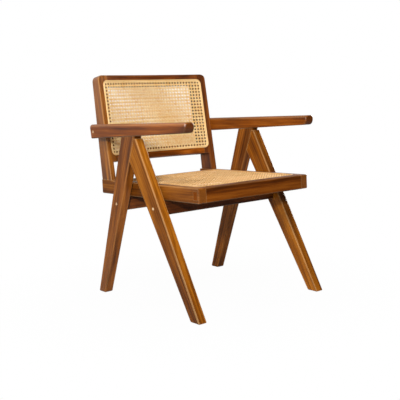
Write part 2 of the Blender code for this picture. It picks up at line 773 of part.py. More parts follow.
def make_seat():
    """The four rails of the seat, its cane and its spline."""
    datum = bpy.data.objects.new("seat_datum", None)
    CHAIR.objects.link(datum)
    datum.location = (0.0, SEAT_FRONT_Y, SEAT_FRONT_HEIGHT)
    datum.rotation_euler = (-SEAT_FALL, 0.0, 0.0)
    half = SEAT_HALF_WIDTH - SEAT_SIDE_BORDER
    edge = (-half, half, SEAT_FRONT_BORDER, SEAT_CANE_REAR, SEAT_CORNER_RADIUS)
    level = Matrix.Identity(4)
    recess_mesh = outline_mesh("seat_recess", [rounded_rectangle(*edge)], 2 * RECESS_DEPTH, level)
    recess = new_cutter("seat_recess", recess_mesh, datum)
    inner = SEAT_HALF_WIDTH - SEAT_SIDE_RAIL
    front_depth = SEAT_FRONT_BORDER + SEAT_LEDGE
    rear_low, rear_high = SEAT_CANE_REAR - SEAT_LEDGE, SEAT_CANE_REAR + SEAT_REAR_BORDER
    tenon_low = -(SEAT_RAIL_HEIGHT + SEAT_TENON_HEIGHT) / 2
    tenon_high = tenon_low + SEAT_TENON_HEIGHT
    cross_rails = (
        ("front_seat_rail", 0.0, front_depth, SEAT_HALF_WIDTH),
        ("rear_seat_rail", rear_low, rear_high, inner + REAR_TENON_LENGTH),
    )
    rails = {}
    for name, sign in SIDES:
        rails[name] = side_seat_rail(name + "_seat_rail", sign, inner, datum)
        cut(rails[name], recess)
    for name, front, rear, reach in cross_rails:
        low = (-inner + FIT_GAP, front, -SEAT_RAIL_HEIGHT)
        mesh = box_mesh(name, low, (inner - FIT_GAP, rear, 0.0))
        if front == 0.0:
            round_edges(mesh, SEAT_TOP_ROUND, 3, lambda edge: ends_pass(edge, is_front_top))
            round_edges(mesh, SEAT_EDGE_ROUND, 1, lambda edge: ends_pass(edge, is_front_low))
        rail = new_piece(name, mesh, WOOD, datum)
        cut(rail, recess)
        middle = (front + rear) / 2
        tenon_front, tenon_rear = middle - SEAT_TENON_DEPTH / 2, middle + SEAT_TENON_DEPTH / 2
        tongue_low = (-reach, tenon_front, tenon_low)
        tongue = box_mesh(name + "_tenon", tongue_low, (reach, tenon_rear, tenon_high))
        join = rail.modifiers.new("tenon", "BOOLEAN")
        join.operation = "UNION"
        join.object = new_cutter(name + "_tenon", tongue, datum)
        grown = reach + FIT_GAP
        slack = Vector((0.0, FIT_GAP, FIT_GAP))
        hole = box_mesh(
            name + "_mortise", Vector((-grown, tenon_front, tenon_low)) - slack,
            Vector((grown, tenon_rear, tenon_high)) + slack,
        )
        mortise = new_cutter(name + "_mortise", hole, datum)
        for side in rails.values():
            cut(side, mortise)
    floor = -RECESS_DEPTH + FIT_GAP
    place = inset_place(*edge[:4], CANE_INSET)
    gaps = (SEAT_GAPS_ACROSS, SEAT_GAPS_ALONG)
    mesh = net_mesh("seat_cane", *place, SEAT_CORNER_RADIUS, *gaps, shifted(level, floor))
    new_piece("seat_cane", mesh, CANE, datum)
    rings = spline_outlines(*inset_place(*edge[:4], 2 * FIT_GAP), SEAT_CORNER_RADIUS - 2 * FIT_GAP)
    height = floor + CANE_THICKNESS + FIT_GAP + SPLINE_HEIGHT / 2
    mesh = outline_mesh("seat_spline", rings, SPLINE_HEIGHT, shifted(level, height))
    new_piece("seat_spline", mesh, REED, datum)
    return datum, rails


def leg_middle(foot, lean, free_foot, free_lean):
    """The middle line of a leg, as its place at the floor and its lean."""
    return (foot + free_foot) / 2, (lean + free_lean) / 2


def stretcher(name, datum, middle):
    """A stretcher under the seat, centred on the legs that it joins; gives its middle in the world."""
    foot, lean = middle
    drop = SEAT_RAIL_HEIGHT + FIT_GAP + STRETCHER_HEIGHT / 2
    level = seat_top(0.0) - drop / math.cos(SEAT_FALL)
    y = (foot + lean * level) / (1.0 + lean * math.tan(SEAT_FALL))
    z = level - math.tan(SEAT_FALL) * y
    along = (y - SEAT_FRONT_Y) * math.cos(SEAT_FALL) + (SEAT_FRONT_HEIGHT - z) * math.sin(SEAT_FALL)
    reach = LEG_INNER - FIT_GAP
    half = STRETCHER_THICKNESS / 2
    top = -SEAT_RAIL_HEIGHT - FIT_GAP
    mesh = box_mesh(name, (-reach, along - half, top - STRETCHER_HEIGHT), (reach, along + half, top))

    def low_edge(edge):
        level_ends = near(edge.verts[0].co.y, edge.verts[1].co.y)
        return level_ends and ends_pass(edge, lambda place: near(place.z, top - STRETCHER_HEIGHT))

    round_edges(mesh, STRETCHER_EDGE_ROUND, 1, low_edge)
    return new_piece(name, mesh, WOOD, datum), y, z, along


def seat_screw(name, datum, x, along, stretcher_piece, rail):
    """A screw from below, through a stretcher and up into a side rail of the seat."""
    bpy.context.view_layer.update()
    up = (datum.matrix_world.to_3x3() @ Vector((0.0, 0.0, 1.0))).normalized()
    low = -SEAT_RAIL_HEIGHT - FIT_GAP - STRETCHER_HEIGHT
    face = datum.matrix_world @ Vector((x, along, low))
    seat = face + up * COUNTERBORE_DEPTH
    grip = STRETCHER_HEIGHT + FIT_GAP - COUNTERBORE_DEPTH
    length = grip + SCREW_BITE
    top = SCREW_HEAD_HEIGHT + FIT_GAP
    shank = SCREW_SHANK_RADIUS
    profile = [
        (0.0, top), (SCREW_HEAD_RADIUS, top), (SCREW_HEAD_RADIUS, FIT_GAP), (shank, FIT_GAP),
        (shank, SCREW_TIP - length), (0.0, -length),
    ]
    turned(name, profile, STEEL, seat, -up)
    bore(stretcher_piece, face, up, COUNTERBORE_RADIUS, COUNTERBORE_DEPTH)
    bore(stretcher_piece, seat, up, shank + BORE_SLACK, grip + FIT_GAP)
    bore(rail, seat + up * grip, up, shank + BORE_SLACK, SCREW_BITE + FIT_GAP)


def make_chair():
    """Build every piece and fasten it to its neighbours."""
    front_edges = (FRONT_FOOT_Y, FRONT_LEG_FRONT_LEAN, FRONT_LEG_BACK_FOOT, FRONT_LEG_REAR_LEAN)
    rear_edges = (REAR_FOOT_Y, REAR_LEG_REAR_LEAN, REAR_LEG_FRONT_FOOT, REAR_LEG_FRONT_LEAN)
    recesses = (panel_recess("front_recess", FRONT_PLANE), panel_recess("rear_recess", REAR_PLANE))
    datum, seat_rails = make_seat()
    front_stretcher = stretcher("front_stretcher", datum, leg_middle(*front_edges))
    rear_stretcher = stretcher("rear_stretcher", datum, leg_middle(*rear_edges))
    for name, (low, high), outer in zip(
        ("back_bottom_rail", "back_top_rail"), RAIL_SPANS, (RAIL_SPANS[0][0], RAIL_SPANS[1][1])
    ):
        back_rail(name, low, high, recesses, outer)
    panel_cane("back_front", FRONT_PLANE)
    panel_cane("back_rear", REAR_PLANE)
    for side, sign in SIDES:
        front = front_leg(side + "_front_leg", sign)
        rear = rear_leg(side + "_rear_leg", sign)
        arm = armrest(side + "_armrest", sign)
        post = back_post(side + "_back_post", sign, recesses)
        fasten_side(side, sign, front, rear, arm, post, datum, seat_rails[side],
                    (front_stretcher, rear_stretcher))


def fasten_side(side, sign, front, rear, arm, post, datum, seat_rail, stretchers):
    """The dowels, screws and plugs of one side of the chair."""
    inward = (-sign, 0.0, 0.0)
    middle_x = sign * (LEG_OUTER + LEG_INNER) / 2
    for end, piece, (bar, y, z, along) in zip(("front", "rear"), (front, rear), stretchers):
        stem = f"{side}_{end}_leg"
        face = (sign * LEG_OUTER, y, z)
        screw_and_plug(stem, face, inward, piece, bar, LEG_THICKNESS + FIT_GAP)
        x = sign * (SEAT_HALF_WIDTH - SEAT_SCREW_INSET)
        seat_screw(f"{side}_{end}_seat_screw", datum, x, along, bar, seat_rail)
    top_front = under_arm_point(REAR_LEG_FRONT_FOOT, REAR_LEG_FRONT_LEAN)[0]
    top_rear = under_arm_point(REAR_FOOT_Y, REAR_LEG_REAR_LEAN)[0]
    for end, part in (("front", 0.28), ("rear", 0.72)):
        y = top_front + (top_rear - top_front) * part
        seat = Vector((middle_x, y, arm_under(y)))
        upward = Vector((0.0, -ARM_UNDER_SLOPE, 1.0)).normalized()
        dowel(f"{side}_{end}_arm_dowel", seat, upward)
        bore_for_dowel(rear, seat, -upward)
        bore_for_dowel(arm, seat, upward)
    across = Vector((0.0, 1.0, -REAR_LEG_FRONT_LEAN)).normalized()
    for end, part in (("upper", 0.52), ("lower", 0.20)):
        height = CROTCH_HEIGHT + (FRONT_LEG_TOP - CROTCH_HEIGHT) * part
        centre = Vector((middle_x, butt_line(height) + FIT_GAP / 2, height))
        dowel(f"{side}_{end}_leg_dowel", centre, across)
        bore_for_dowel(front, centre, -across)
        bore_for_dowel(rear, centre, across)
    foot_x = sign * (POST_OUTER - POST_THICKNESS / 2)
    foot_y = POST_BASE_Y + POST_BASE_DEPTH / 2 + bow(foot_x)
    foot = Vector((foot_x, foot_y, seat_top(foot_y) + FIT_GAP / 2))
    dowel(f"{side}_back_post_dowel", foot, (0.0, 0.0, 1.0))
    bore_for_dowel(post, foot, (0.0, 0.0, 1.0))
    bore_for_dowel(seat_rail, foot, (0.0, 0.0, -1.0))
    rise = (arm_under(ARM_REAR_Y) + arm_top(ARM_REAR_Y)) / 2
    post_front = POST_BASE_Y + math.tan(POST_LEAN) * (rise - seat_top(POST_BASE_Y)) + bow(POST_OUTER)
    arm_end = ARM_REAR_Y - math.tan(POST_LEAN) * ARM_REAR_THICKNESS / 2
    face = (sign * ARM_OUTER, (post_front + arm_end) / 2, rise)
    screw_and_plug(f"{side}_armrest", face, inward, arm, post, ARM_WIDTH + FIT_GAP)


make_chair()
bpy.context.view_layer.update()
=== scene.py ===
"""Looks of the cane armchair: oiled hardwood, woven cane, reed splines, and a white studio."""

import math
import random
from typing import NamedTuple

import bpy
from mathutils import Matrix, Vector


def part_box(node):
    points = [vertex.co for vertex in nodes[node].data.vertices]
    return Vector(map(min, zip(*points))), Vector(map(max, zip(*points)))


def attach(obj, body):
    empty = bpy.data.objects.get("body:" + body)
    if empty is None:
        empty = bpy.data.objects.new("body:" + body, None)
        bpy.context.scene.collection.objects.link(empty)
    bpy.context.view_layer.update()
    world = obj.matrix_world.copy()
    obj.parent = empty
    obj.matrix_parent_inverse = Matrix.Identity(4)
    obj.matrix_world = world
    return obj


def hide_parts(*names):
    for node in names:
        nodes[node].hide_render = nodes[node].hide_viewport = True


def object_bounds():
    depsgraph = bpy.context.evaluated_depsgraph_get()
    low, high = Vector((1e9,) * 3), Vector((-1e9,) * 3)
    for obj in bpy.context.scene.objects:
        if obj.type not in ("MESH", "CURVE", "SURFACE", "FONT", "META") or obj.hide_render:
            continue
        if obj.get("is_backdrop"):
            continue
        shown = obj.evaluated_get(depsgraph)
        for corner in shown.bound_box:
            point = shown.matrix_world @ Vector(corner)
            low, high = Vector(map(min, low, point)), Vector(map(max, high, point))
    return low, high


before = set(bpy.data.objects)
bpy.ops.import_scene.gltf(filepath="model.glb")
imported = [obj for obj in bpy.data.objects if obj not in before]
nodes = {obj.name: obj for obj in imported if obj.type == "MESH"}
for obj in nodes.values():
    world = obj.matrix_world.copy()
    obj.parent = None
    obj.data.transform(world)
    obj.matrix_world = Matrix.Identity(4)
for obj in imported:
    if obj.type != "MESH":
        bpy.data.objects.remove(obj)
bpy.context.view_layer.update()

# Sizes repeated from the solids, in metres
POST_LEAN = math.radians(9.3)
COS_LEAN, SIN_LEAN = math.cos(POST_LEAN), math.sin(POST_LEAN)
POST_BASE_Y = 0.20486
POST_BASE_DEPTH = 0.066
POST_TOP_DEPTH = 0.0465
POST_LENGTH = 0.3893
BOW_RADIUS = 0.968
PANEL_HALF_WIDTH = 0.2286
PANEL_BOTTOM = 0.0888
PANEL_TOP = 0.3703
PANEL_CORNER = 0.020
SEAT_FRONT_Y = -0.3095
SEAT_FRONT_Z = 0.4266
SEAT_FALL = math.radians(1.25)
POST_BASE_Z = SEAT_FRONT_Z - (POST_BASE_Y - SEAT_FRONT_Y) * math.tan(SEAT_FALL)
SEAT_RECESS_HALF = 0.2335
SEAT_RECESS_FRONT = 0.015
SEAT_RAIL_INNER = 0.2155
SEAT_CORNER = 0.022
RECESS_DEPTH = 0.0042
RECESS_SHARE = 0.45  # reach of a recess from the middle of a post, as a share of its depth

# The seat's cane inside its wooden border, and how that border lies in the recess
SEAT_CANE_HALF = 0.2195
SEAT_CANE_FRONT = 0.031
SEAT_CANE_REAR = 0.485
BORDER_GAP = 0.0002
BORDER_LIFT = 0.0003
BORDER_CORNER_STEPS = 12
FAR_ASIDE = 1.0  # further to a side than any piece of the seat

# The strands of the weave, with heights above the floor of the recess
MESH = 0.0127
STRAND_WIDTH = 0.0019
STRAND_SPREAD = 0.0020
STRAND_THICKNESS = 0.0005
DIAGONAL_WIDTH = 0.0026
DIAGONAL_STEPS = 4  # points in each cell of the mesh
CANE_LEVEL = 0.0013
WEAVE_RISE = 0.00032
DIAGONAL_RISE = 0.00062
CANE_INSET = 0.0016
REACH_SPARE = 0.004  # how far a strand's points reach past the field before they are cut
SPARE_CELLS = 2  # rows and columns that are tried past the edge of the field
SPARE_DIAGONALS = 4
STRAND_SECTION = ((-1.0, 0.0), (-0.35, 0.5), (0.35, 0.5), (1.0, 0.0), (0.0, -0.5))

# The flat band of cane beside the reed
BAND_LAP = 0.001
BAND_LIFT = 0.0008
BAND_THICKNESS = 0.0006
BAND_TONE = 0.75
BAND_CORNER_STEPS, BAND_SIDE_STEP = 6, 0.02

# The reed round each sheet
REED_WIDTH = 0.0045
REED_THICKNESS = 0.0030
REED_LEVEL = 0.0030
REED_OVERLAP = 0.0013
REED_TONE = 0.6
REED_CORNER_STEPS, REED_SIDE_STEP = 8, 0.008
LEAST_CORNER = 0.004  # least radius of a corner

# The grain along a strand: each strand starts at a place of its own in it
RUN_STEP = 0.37
RUN_SPAN = 3.0
RUN_WIDTH_SPAN = 1.7

ZERO = (0.0, 0.0, 0.0)
UNIT = (1.0, 1.0, 1.0)
WHITE = (1.0, 1.0, 1.0, 1.0)


def srgb(red, green, blue):
    """A colour given in display values, as linear light."""
    out = []
    for value in (red, green, blue):
        part = value / 255.0
        out.append(part / 12.92 if part <= 0.04045 else ((part + 0.055) / 1.055) ** 2.4)
    return (*out, 1.0)


def dimmed(colour, share):
    """A colour times a share."""
    return tuple(part * share for part in colour[:3]) + (1.0,)


class Nodes:
    """A small helper that builds a node tree."""

    def __init__(self, tree):
        self.tree = tree

    def fill(self, node, inputs):
        """Give a node's inputs their values, or link them to another node's output."""
        for key, value in inputs.items():
            if isinstance(value, bpy.types.NodeSocket):
                self.tree.links.new(value, node.inputs[key])
            else:
                node.inputs[key].default_value = value

    def add(self, kind, inputs=None, **settings):
        """A new node with its settings and inputs."""
        node = self.tree.nodes.new(kind)
        for key, value in settings.items():
            setattr(node, key, value)
        self.fill(node, inputs or {})
        return node

    def math(self, operation, first, second=0.0):
        """An operation on one or two numbers."""
        inputs = {0: first, 1: second}
        return self.add("ShaderNodeMath", inputs, operation=operation).outputs[0]

    def weighted(self, *parts):
        """The sum of numbers, each times its share."""
        total = None
        for value, share in parts:
            part = self.math("MULTIPLY", value, share)
            total = part if total is None else self.math("ADD", total, part)
        return total

    def near(self, value, middle, reach):
        """1 where a number is within reach of the middle, and 0 elsewhere."""
        inputs = {0: value, 1: middle, 2: reach}
        return self.add("ShaderNodeMath", inputs, operation="COMPARE").outputs[0]

    def dot(self, vector, axis):
        """The share of a vector along an axis."""
        inputs = {0: vector, 1: axis}
        return self.add("ShaderNodeVectorMath", inputs, operation="DOT_PRODUCT").outputs["Value"]

    def span(self, value, start, end):
        """A number moved from one span to another, and kept inside it."""
        inputs = {"Value": value, "From Min": start[0], "From Max": start[1],
                  "To Min": end[0], "To Max": end[1]}
        return self.add("ShaderNodeMapRange", inputs).outputs["Result"]

    def blend(self, factor, first, second):
        """A mix of two shaders."""
        inputs = {"Fac": factor, 1: first, 2: second}
        return self.add("ShaderNodeMixShader", inputs).outputs[0]


class Tree(Nodes):
    """A helper that builds a new material."""

    def __init__(self, name):
        self.material = bpy.data.materials.new(name)
        self.material.use_nodes = True
        super().__init__(self.material.node_tree)
        self.shader = self.tree.nodes["Principled BSDF"]

    def place(self):
        """The place on the object."""
        return self.add("ShaderNodeTexCoord").outputs["Object"]

    def mapped(self, place=ZERO, turn=ZERO, scale=UNIT):
        """The place on the object in a frame that is moved, turned and scaled."""
        inputs = {"Vector": self.place(), "Location": place, "Rotation": turn, "Scale": scale}
        return self.add("ShaderNodeMapping", inputs, vector_type="TEXTURE").outputs["Vector"]

    def noise(self, vector, scale, detail, roughness, distortion=0.0):
        """Smooth noise between 0 and 1."""
        inputs = {"Vector": vector, "Scale": scale, "Detail": detail,
                  "Roughness": roughness, "Distortion": distortion}
        return self.add("ShaderNodeTexNoise", inputs).outputs["Fac"]

    def ramp(self, value, stops):
        """A number turned into the colours, or the numbers, at its stops."""
        node = self.add("ShaderNodeValToRGB", {"Fac": value})
        bands = node.color_ramp.elements
        while len(bands) < len(stops):
            bands.new(0.5)
        for band, (place, colour) in zip(bands, stops):
            band.position = place
            band.color = colour if isinstance(colour, tuple) else (colour, colour, colour, 1.0)
        return node.outputs["Color"]

    def mix(self, factor, first, second, blend="MIX"):
        """A mix of two colours."""
        inputs = {"Factor": factor, 6: first, 7: second}
        return self.add("ShaderNodeMix", inputs, data_type="RGBA", blend_type=blend).outputs[2]

    def arris(self, radius):
        """How close a point is to an arris, from 0 on a flat face."""
        round_over = self.add("ShaderNodeBevel", {"Radius": radius}, samples=6).outputs["Normal"]
        flat = self.add("ShaderNodeNewGeometry").outputs["True Normal"]
        return self.math("SUBTRACT", 1.0, self.dot(round_over, flat))

    def shade(self, inputs):
        """Fill the shader's inputs."""
        self.fill(self.shader, inputs)

    def bump(self, height, strength, distance):
        """Relief of the surface."""
        inputs = {"Height": height, "Strength": strength, "Distance": distance}
        self.shade({"Normal": self.add("ShaderNodeBump", inputs).outputs["Normal"]})

    def surface(self, result):
        """Use this shader in place of the plain one."""
        self.fill(self.tree.nodes["Material Output"], {"Surface": result})


# Tones of the wood, from dark to light
HONEY = (srgb(88, 43, 6), srgb(132, 72, 10), srgb(166, 96, 16), srgb(204, 128, 36))
AMBER = (srgb(68, 33, 6), srgb(106, 56, 11), srgb(138, 77, 18), srgb(172, 104, 32))
RUSSET = (srgb(70, 29, 4), srgb(105, 50, 7), srgb(136, 69, 11), srgb(168, 93, 24))
UMBER = (srgb(50, 22, 4), srgb(82, 38, 7), srgb(110, 56, 12), srgb(140, 78, 22))
GRAIN_STOPS = (0.36, 0.45, 0.53, 0.63)

# The layers of the grain: the size of their features along it and across it, in metres
BROAD_SIZE = (0.30, 0.030, 0.030)
STREAK_SIZE = (0.20, 0.0095, 0.0095)
FIBRE_SIZE = (0.06, 0.0014, 0.0014)
PORE_SIZE = (0.012, 0.00055, 0.00055)
# The share of each layer in the tone
BROAD_SHARE, STREAK_SHARE, FIBRE_SHARE, RING_SHARE = 0.45, 0.31, 0.14, 0.10
# Detail, roughness and distortion of their noise
BROAD_NOISE, STREAK_NOISE, FIBRE_NOISE = (2.0, 0.5), (3.0, 0.55, 0.25), (3.0, 0.6)
PORE_NOISE = (2.0, 0.5)
PORE_STOPS = ((0.30, 0.66), (0.42, 1.0))
GRAIN_SHIFT = 0.4
WOOD_SEED = 11

# Growth rings: drawn out along the grain, and wandering by a slow noise
RING_STRETCH = (7.0, 1.0, 1.0)
RING_WAVE = {"Scale": 34.0, "Distortion": 1.6, "Detail": 2.0, "Detail Scale": 0.8}
RING_NOISE = (5.0, 2.0, 0.5)
RING_WANDER = 6.0
RING_STOPS = ((0.0, 0.20), (0.5, 0.50), (0.88, 0.78), (1.0, 0.30))

# Cut ends: where a face looks along the grain, and the specks of its end grain
END_STOPS = ((0.62, 0.0), (0.94, 0.8))
END_NOISE = (420.0, 2.0, 0.6)
END_SPECKS = ((0.35, 0.62), (0.6, 1.12))

# Oil finish: its coat grows with the polish, and the recess behind the cane has none
COAT_LEAST, COAT_RISE, COAT_MOST, COAT_ROUGHNESS = 0.10, 0.8, 0.40, 0.24
WOOD_ROUGHNESS = ((0.3, 0.36), (0.7, 0.50))
WOOD_RELIEF = (0.22, 0.0003)
FIBRE_RELIEF = 0.5
# Painted shade: the colour that darkens the wood in the recess behind the cane
RECESS_PAINTED_SHADE = (0.60, 0.28, 0.08, 1.0)

# Painted highlight and wear: how far the arrises of each set of tones are painted pale, and where
# they count as arrises
RUB_AND_HIGHLIGHT = {HONEY: 0.42, AMBER: 0.14, RUSSET: 0.08, UMBER: 0.08}
HIGHLIGHT_TONE = srgb(236, 198, 138)
ARRIS_RADIUS = 0.004
SHARP_STOPS = ((0.01, 0.0), (0.20, 1.0))
EASED_STOPS = ((0.25, 0.0), (0.60, 1.0))
LESS_RUBBED_HIGHLIGHT = 0.6
HIGHLIGHT_PLACES = (0.35, 0.6)


class Board(NamedTuple):
    """How one board is cut and finished."""

    run: tuple  # direction of its grain
    pith: tuple  # where the pith lies beside its middle, in metres
    tones: tuple
    shade: float  # how light it is
    polish: float
    # Drift paints light and shade on some boards, marked in the table; faces paints each face
    # lighter or darker by the way it looks, as light falls on it
    drift: tuple = ZERO  # how its tone rises along X, Y and Z
    faces: tuple = ZERO  # how its tone differs between faces
    end: float = 0.7  # tone of its cut ends


FRONT_LEG = (0.0, 0.594, 1.0)
REAR_LEG = (0.0, -0.367, 1.0)
ALONG = (0.0, 1.0, -0.02)
ACROSS = (1.0, 0.0, 0.0)
POST = (0.0, SIN_LEAN, COS_LEAN)
# A direction beside the run, for the boards that lie across and for the others
SKEW_ASIDE, LEFT_ASIDE = (0.3, 0.2, 1.0), (1.0, 0.0, 0.0)

# The order gives each board the seed of its grain
BOARDS = {
    # Painted light: right_front_leg grows lighter towards its top, where more light falls
    "right_front_leg": Board(FRONT_LEG, (0.10, -0.04), HONEY, 0.61, 0.10,
                             drift=(0.0, 0.0, 0.24), faces=(0.02, 0.01, 0.02)),
    "left_front_leg": Board(FRONT_LEG, (-0.09, 0.05), HONEY, 0.64, 0.12,
                            drift=(0.0, 0.0, -0.03), faces=(0.0, 0.05, 0.0)),
    "right_rear_leg": Board(REAR_LEG, (0.08, 0.03), AMBER, 0.81, 0.20, faces=(0.0, -0.02, 0.0)),
    "left_rear_leg": Board(REAR_LEG, (-0.07, -0.04), AMBER, 0.81, 0.10),
    # Painted sheen: right_armrest grows lighter towards the rear, and both armrests have painted
    # lighter tops
    "right_armrest": Board(ALONG, (0.05, -0.06), RUSSET, 0.69, 0.22,
                           drift=(0.0, 0.18, 0.0), faces=(0.0, 0.0, 0.07), end=0.55),
    "left_armrest": Board(ALONG, (-0.05, 0.06), RUSSET, 0.63, 0.08,
                          drift=(0.0, 0.06, 0.0), faces=(0.0, 0.0, 0.07), end=0.55),
    # Painted light: right_back_post grows lighter towards its top
    "right_back_post": Board(POST, (0.06, 0.05), HONEY, 0.68, 0.50,
                             drift=(0.0, 0.0, 0.22), faces=(0.0, 0.025, 0.0)),
    "left_back_post": Board(POST, (-0.06, -0.05), UMBER, 0.98, 0.25, drift=(0.0, 0.0, -0.10)),
    "right_seat_rail": Board(ALONG, (0.07, 0.02), AMBER, 0.61, 0.12, end=1.02),
    "left_seat_rail": Board(ALONG, (-0.07, 0.03), AMBER, 0.80, 0.20, end=0.75),
    "back_top_rail": Board(ACROSS, (0.03, 0.07), UMBER, 1.12, 0.30, drift=(-0.06, 0.0, 0.0)),
    # Painted shadow: back_bottom_rail is darker towards its -X end, where the near arm's shadow
    # falls
    "back_bottom_rail": Board(ACROSS, (0.05, 0.05), RUSSET, 0.90, 0.10, drift=(0.14, 0.0, 0.0)),
    "front_seat_rail": Board(ACROSS, (0.05, -0.03), RUSSET, 0.46, 0.03,
                             drift=(0.06, 0.0, -2.4), faces=(0.0, 0.0, 0.11), end=1.42),
    "rear_seat_rail": Board(ACROSS, (0.06, 0.04), AMBER, 0.84, 0.25),
    "front_stretcher": Board(ACROSS, (0.04, 0.05), RUSSET, 0.44, 0.10, drift=(0.32, 0.0, 0.0)),
    "rear_stretcher": Board(ACROSS, (0.05, 0.06), UMBER, 0.72, 0.20),
}


def in_recess(made):
    """1 where a point of the back's frame lies in a recess behind the cane, and 0 elsewhere: there
    the wood gets painted shade and no coat.
    """
    at = made.place()
    across = made.dot(at, (1.0, 0.0, 0.0))
    base_rise = POST_BASE_Y * SIN_LEAN + POST_BASE_Z * COS_LEAN
    base_out = POST_BASE_Z * SIN_LEAN - POST_BASE_Y * COS_LEAN
    rise = made.math("SUBTRACT", made.dot(at, (0.0, SIN_LEAN, COS_LEAN)), base_rise)
    out = made.math("SUBTRACT", made.dot(at, (0.0, -COS_LEAN, SIN_LEAN)), base_out)
    square = made.math("MULTIPLY", across, across)
    square = made.math("SUBTRACT", PANEL_HALF_WIDTH ** 2, square)
    sag = made.math("MULTIPLY", square, 0.5 / BOW_RADIUS)
    rise = made.math("SUBTRACT", rise, made.math("MULTIPLY", sag, SIN_LEAN))
    out = made.math("SUBTRACT", out, made.math("MULTIPLY", sag, -COS_LEAN))
    taper = (POST_TOP_DEPTH - POST_BASE_DEPTH) / POST_LENGTH
    depth = made.math("ADD", made.math("MULTIPLY", rise, taper), POST_BASE_DEPTH)
    beside = made.near(across, 0.0, PANEL_HALF_WIDTH)
    between = made.near(rise, (PANEL_BOTTOM + PANEL_TOP) / 2, (PANEL_TOP - PANEL_BOTTOM) / 2)
    behind = made.near(made.math("DIVIDE", out, depth), -0.5, RECESS_SHARE)
    return made.math("MULTIPLY", made.math("MULTIPLY", beside, between), behind)


def rubbed_highlight(made, normal, run, side, streak, most):
    """How far the wood is painted pale, as highlight and wear: on sharp and on eased arrises, and
    more in some streaks.
    """
    sharp = made.ramp(made.arris(ARRIS_RADIUS), SHARP_STOPS)
    across = made.math("ABSOLUTE", made.dot(normal, side))
    through = made.math("ABSOLUTE", made.dot(normal, run.cross(side)))
    eased = made.ramp(made.math("MINIMUM", across, through), EASED_STOPS)
    worn_highlight = made.ramp(streak, tuple(zip(HIGHLIGHT_PLACES, (LESS_RUBBED_HIGHLIGHT * most, most))))
    return made.math("MULTIPLY", made.math("MAXIMUM", sharp, eased), worn_highlight)


def wood(name, board, middle, seed, recessed):
    """Oiled hardwood with its grain along the board and its growth rings round the pith."""
    made = Tree(name)
    chance = random.Random(seed)
    run = Vector(board.run).normalized()
    aside = SKEW_ASIDE if board.run == ACROSS else LEFT_ASIDE
    side = run.cross(Vector(aside)).normalized()
    pith = middle + side * board.pith[0] + run.cross(side) * board.pith[1]
    turn = Vector((1.0, 0.0, 0.0)).rotation_difference(run).to_euler()
    shift = Vector([chance.uniform(-GRAIN_SHIFT, GRAIN_SHIFT) for _ in range(3)])
    along = made.mapped(shift, turn)
    broad = made.noise(made.mapped(shift, turn, BROAD_SIZE), 1.0, *BROAD_NOISE)
    streak = made.noise(made.mapped(shift, turn, STREAK_SIZE), 1.0, *STREAK_NOISE)
    fibre = made.noise(made.mapped(shift, turn, FIBRE_SIZE), 1.0, *FIBRE_NOISE)
    pore = made.noise(made.mapped(shift, turn, PORE_SIZE), 1.0, *PORE_NOISE)
    wander = made.math("MULTIPLY", made.noise(along, *RING_NOISE), RING_WANDER)
    inputs = {"Vector": made.mapped(pith, turn, RING_STRETCH), "Phase Offset": wander, **RING_WAVE}
    rings = made.add("ShaderNodeTexWave", inputs,
                     wave_type="RINGS", rings_direction="X", wave_profile="SAW")
    ring = made.ramp(rings.outputs["Fac"], RING_STOPS)
    tone = made.weighted((streak, STREAK_SHARE), (broad, BROAD_SHARE),
                         (fibre, FIBRE_SHARE), (ring, RING_SHARE))

    normal = made.add("ShaderNodeNewGeometry").outputs["Normal"]
    # Painted light and tone: the drift shifts the tone along an axis
    drift = made.dot(made.place(), board.drift)
    drift = made.math("SUBTRACT", drift, Vector(board.drift).dot(middle))
    tone = made.math("ADD", tone, drift)
    # Painted light: each face is made lighter or darker by the way it looks
    tone = made.math("ADD", tone, made.dot(normal, board.faces))
    tones = [dimmed(colour, board.shade) for colour in board.tones]
    colour = made.ramp(tone, tuple(zip(GRAIN_STOPS, tones)))
    pores = made.ramp(pore, PORE_STOPS)
    colour = made.mix(1.0, colour, pores, "MULTIPLY")

    cut_end = made.ramp(made.math("ABSOLUTE", made.dot(normal, run)), END_STOPS)
    specks = made.ramp(made.noise(along, *END_NOISE), END_SPECKS)
    end_tone = made.mix(1.0, dimmed(tones[2], board.end), specks, "MULTIPLY")
    colour = made.mix(cut_end, colour, end_tone)

    coat = min(COAT_MOST, COAT_LEAST + COAT_RISE * board.polish)
    made.shade({"Specular IOR Level": board.polish, "Coat Roughness": COAT_ROUGHNESS})
    made.shade({"Coat Weight": coat})
    if recessed:
        within = in_recess(made)
        # Painted shade: the wood in the recess behind the cane is multiplied darker
        colour = made.mix(1.0, colour, made.mix(within, WHITE, RECESS_PAINTED_SHADE), "MULTIPLY")
        open_air = made.math("SUBTRACT", 1.0, within)
        made.shade({"Coat Weight": made.math("MULTIPLY", open_air, coat)})

    worn_highlight = rubbed_highlight(made, normal, run, side, streak, RUB_AND_HIGHLIGHT[board.tones])
    # Painted highlight: arrises are mixed towards a pale tone, which also stands for wear
    colour = made.mix(worn_highlight, colour, HIGHLIGHT_TONE)
    made.shade({"Base Color": colour, "Roughness": made.ramp(fibre, WOOD_ROUGHNESS)})
    relief = made.math("ADD", pores, made.math("MULTIPLY", fibre, FIBRE_RELIEF))
    made.bump(relief, *WOOD_RELIEF)
    return made.material


def paint(node, material):
    """Give a CAD node its finish."""
    mesh = nodes[node].data
    mesh.materials.clear()
    mesh.materials.append(material)


for number, (node, board) in enumerate(BOARDS.items()):
    low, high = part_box(node)
    middle = (low + high) / 2
    paint(node, wood("wood_" + node, board, middle, WOOD_SEED + number, "back_" in node))

# The share of the slow noise in a finish that has one
CLOUD_SHARE = 0.5


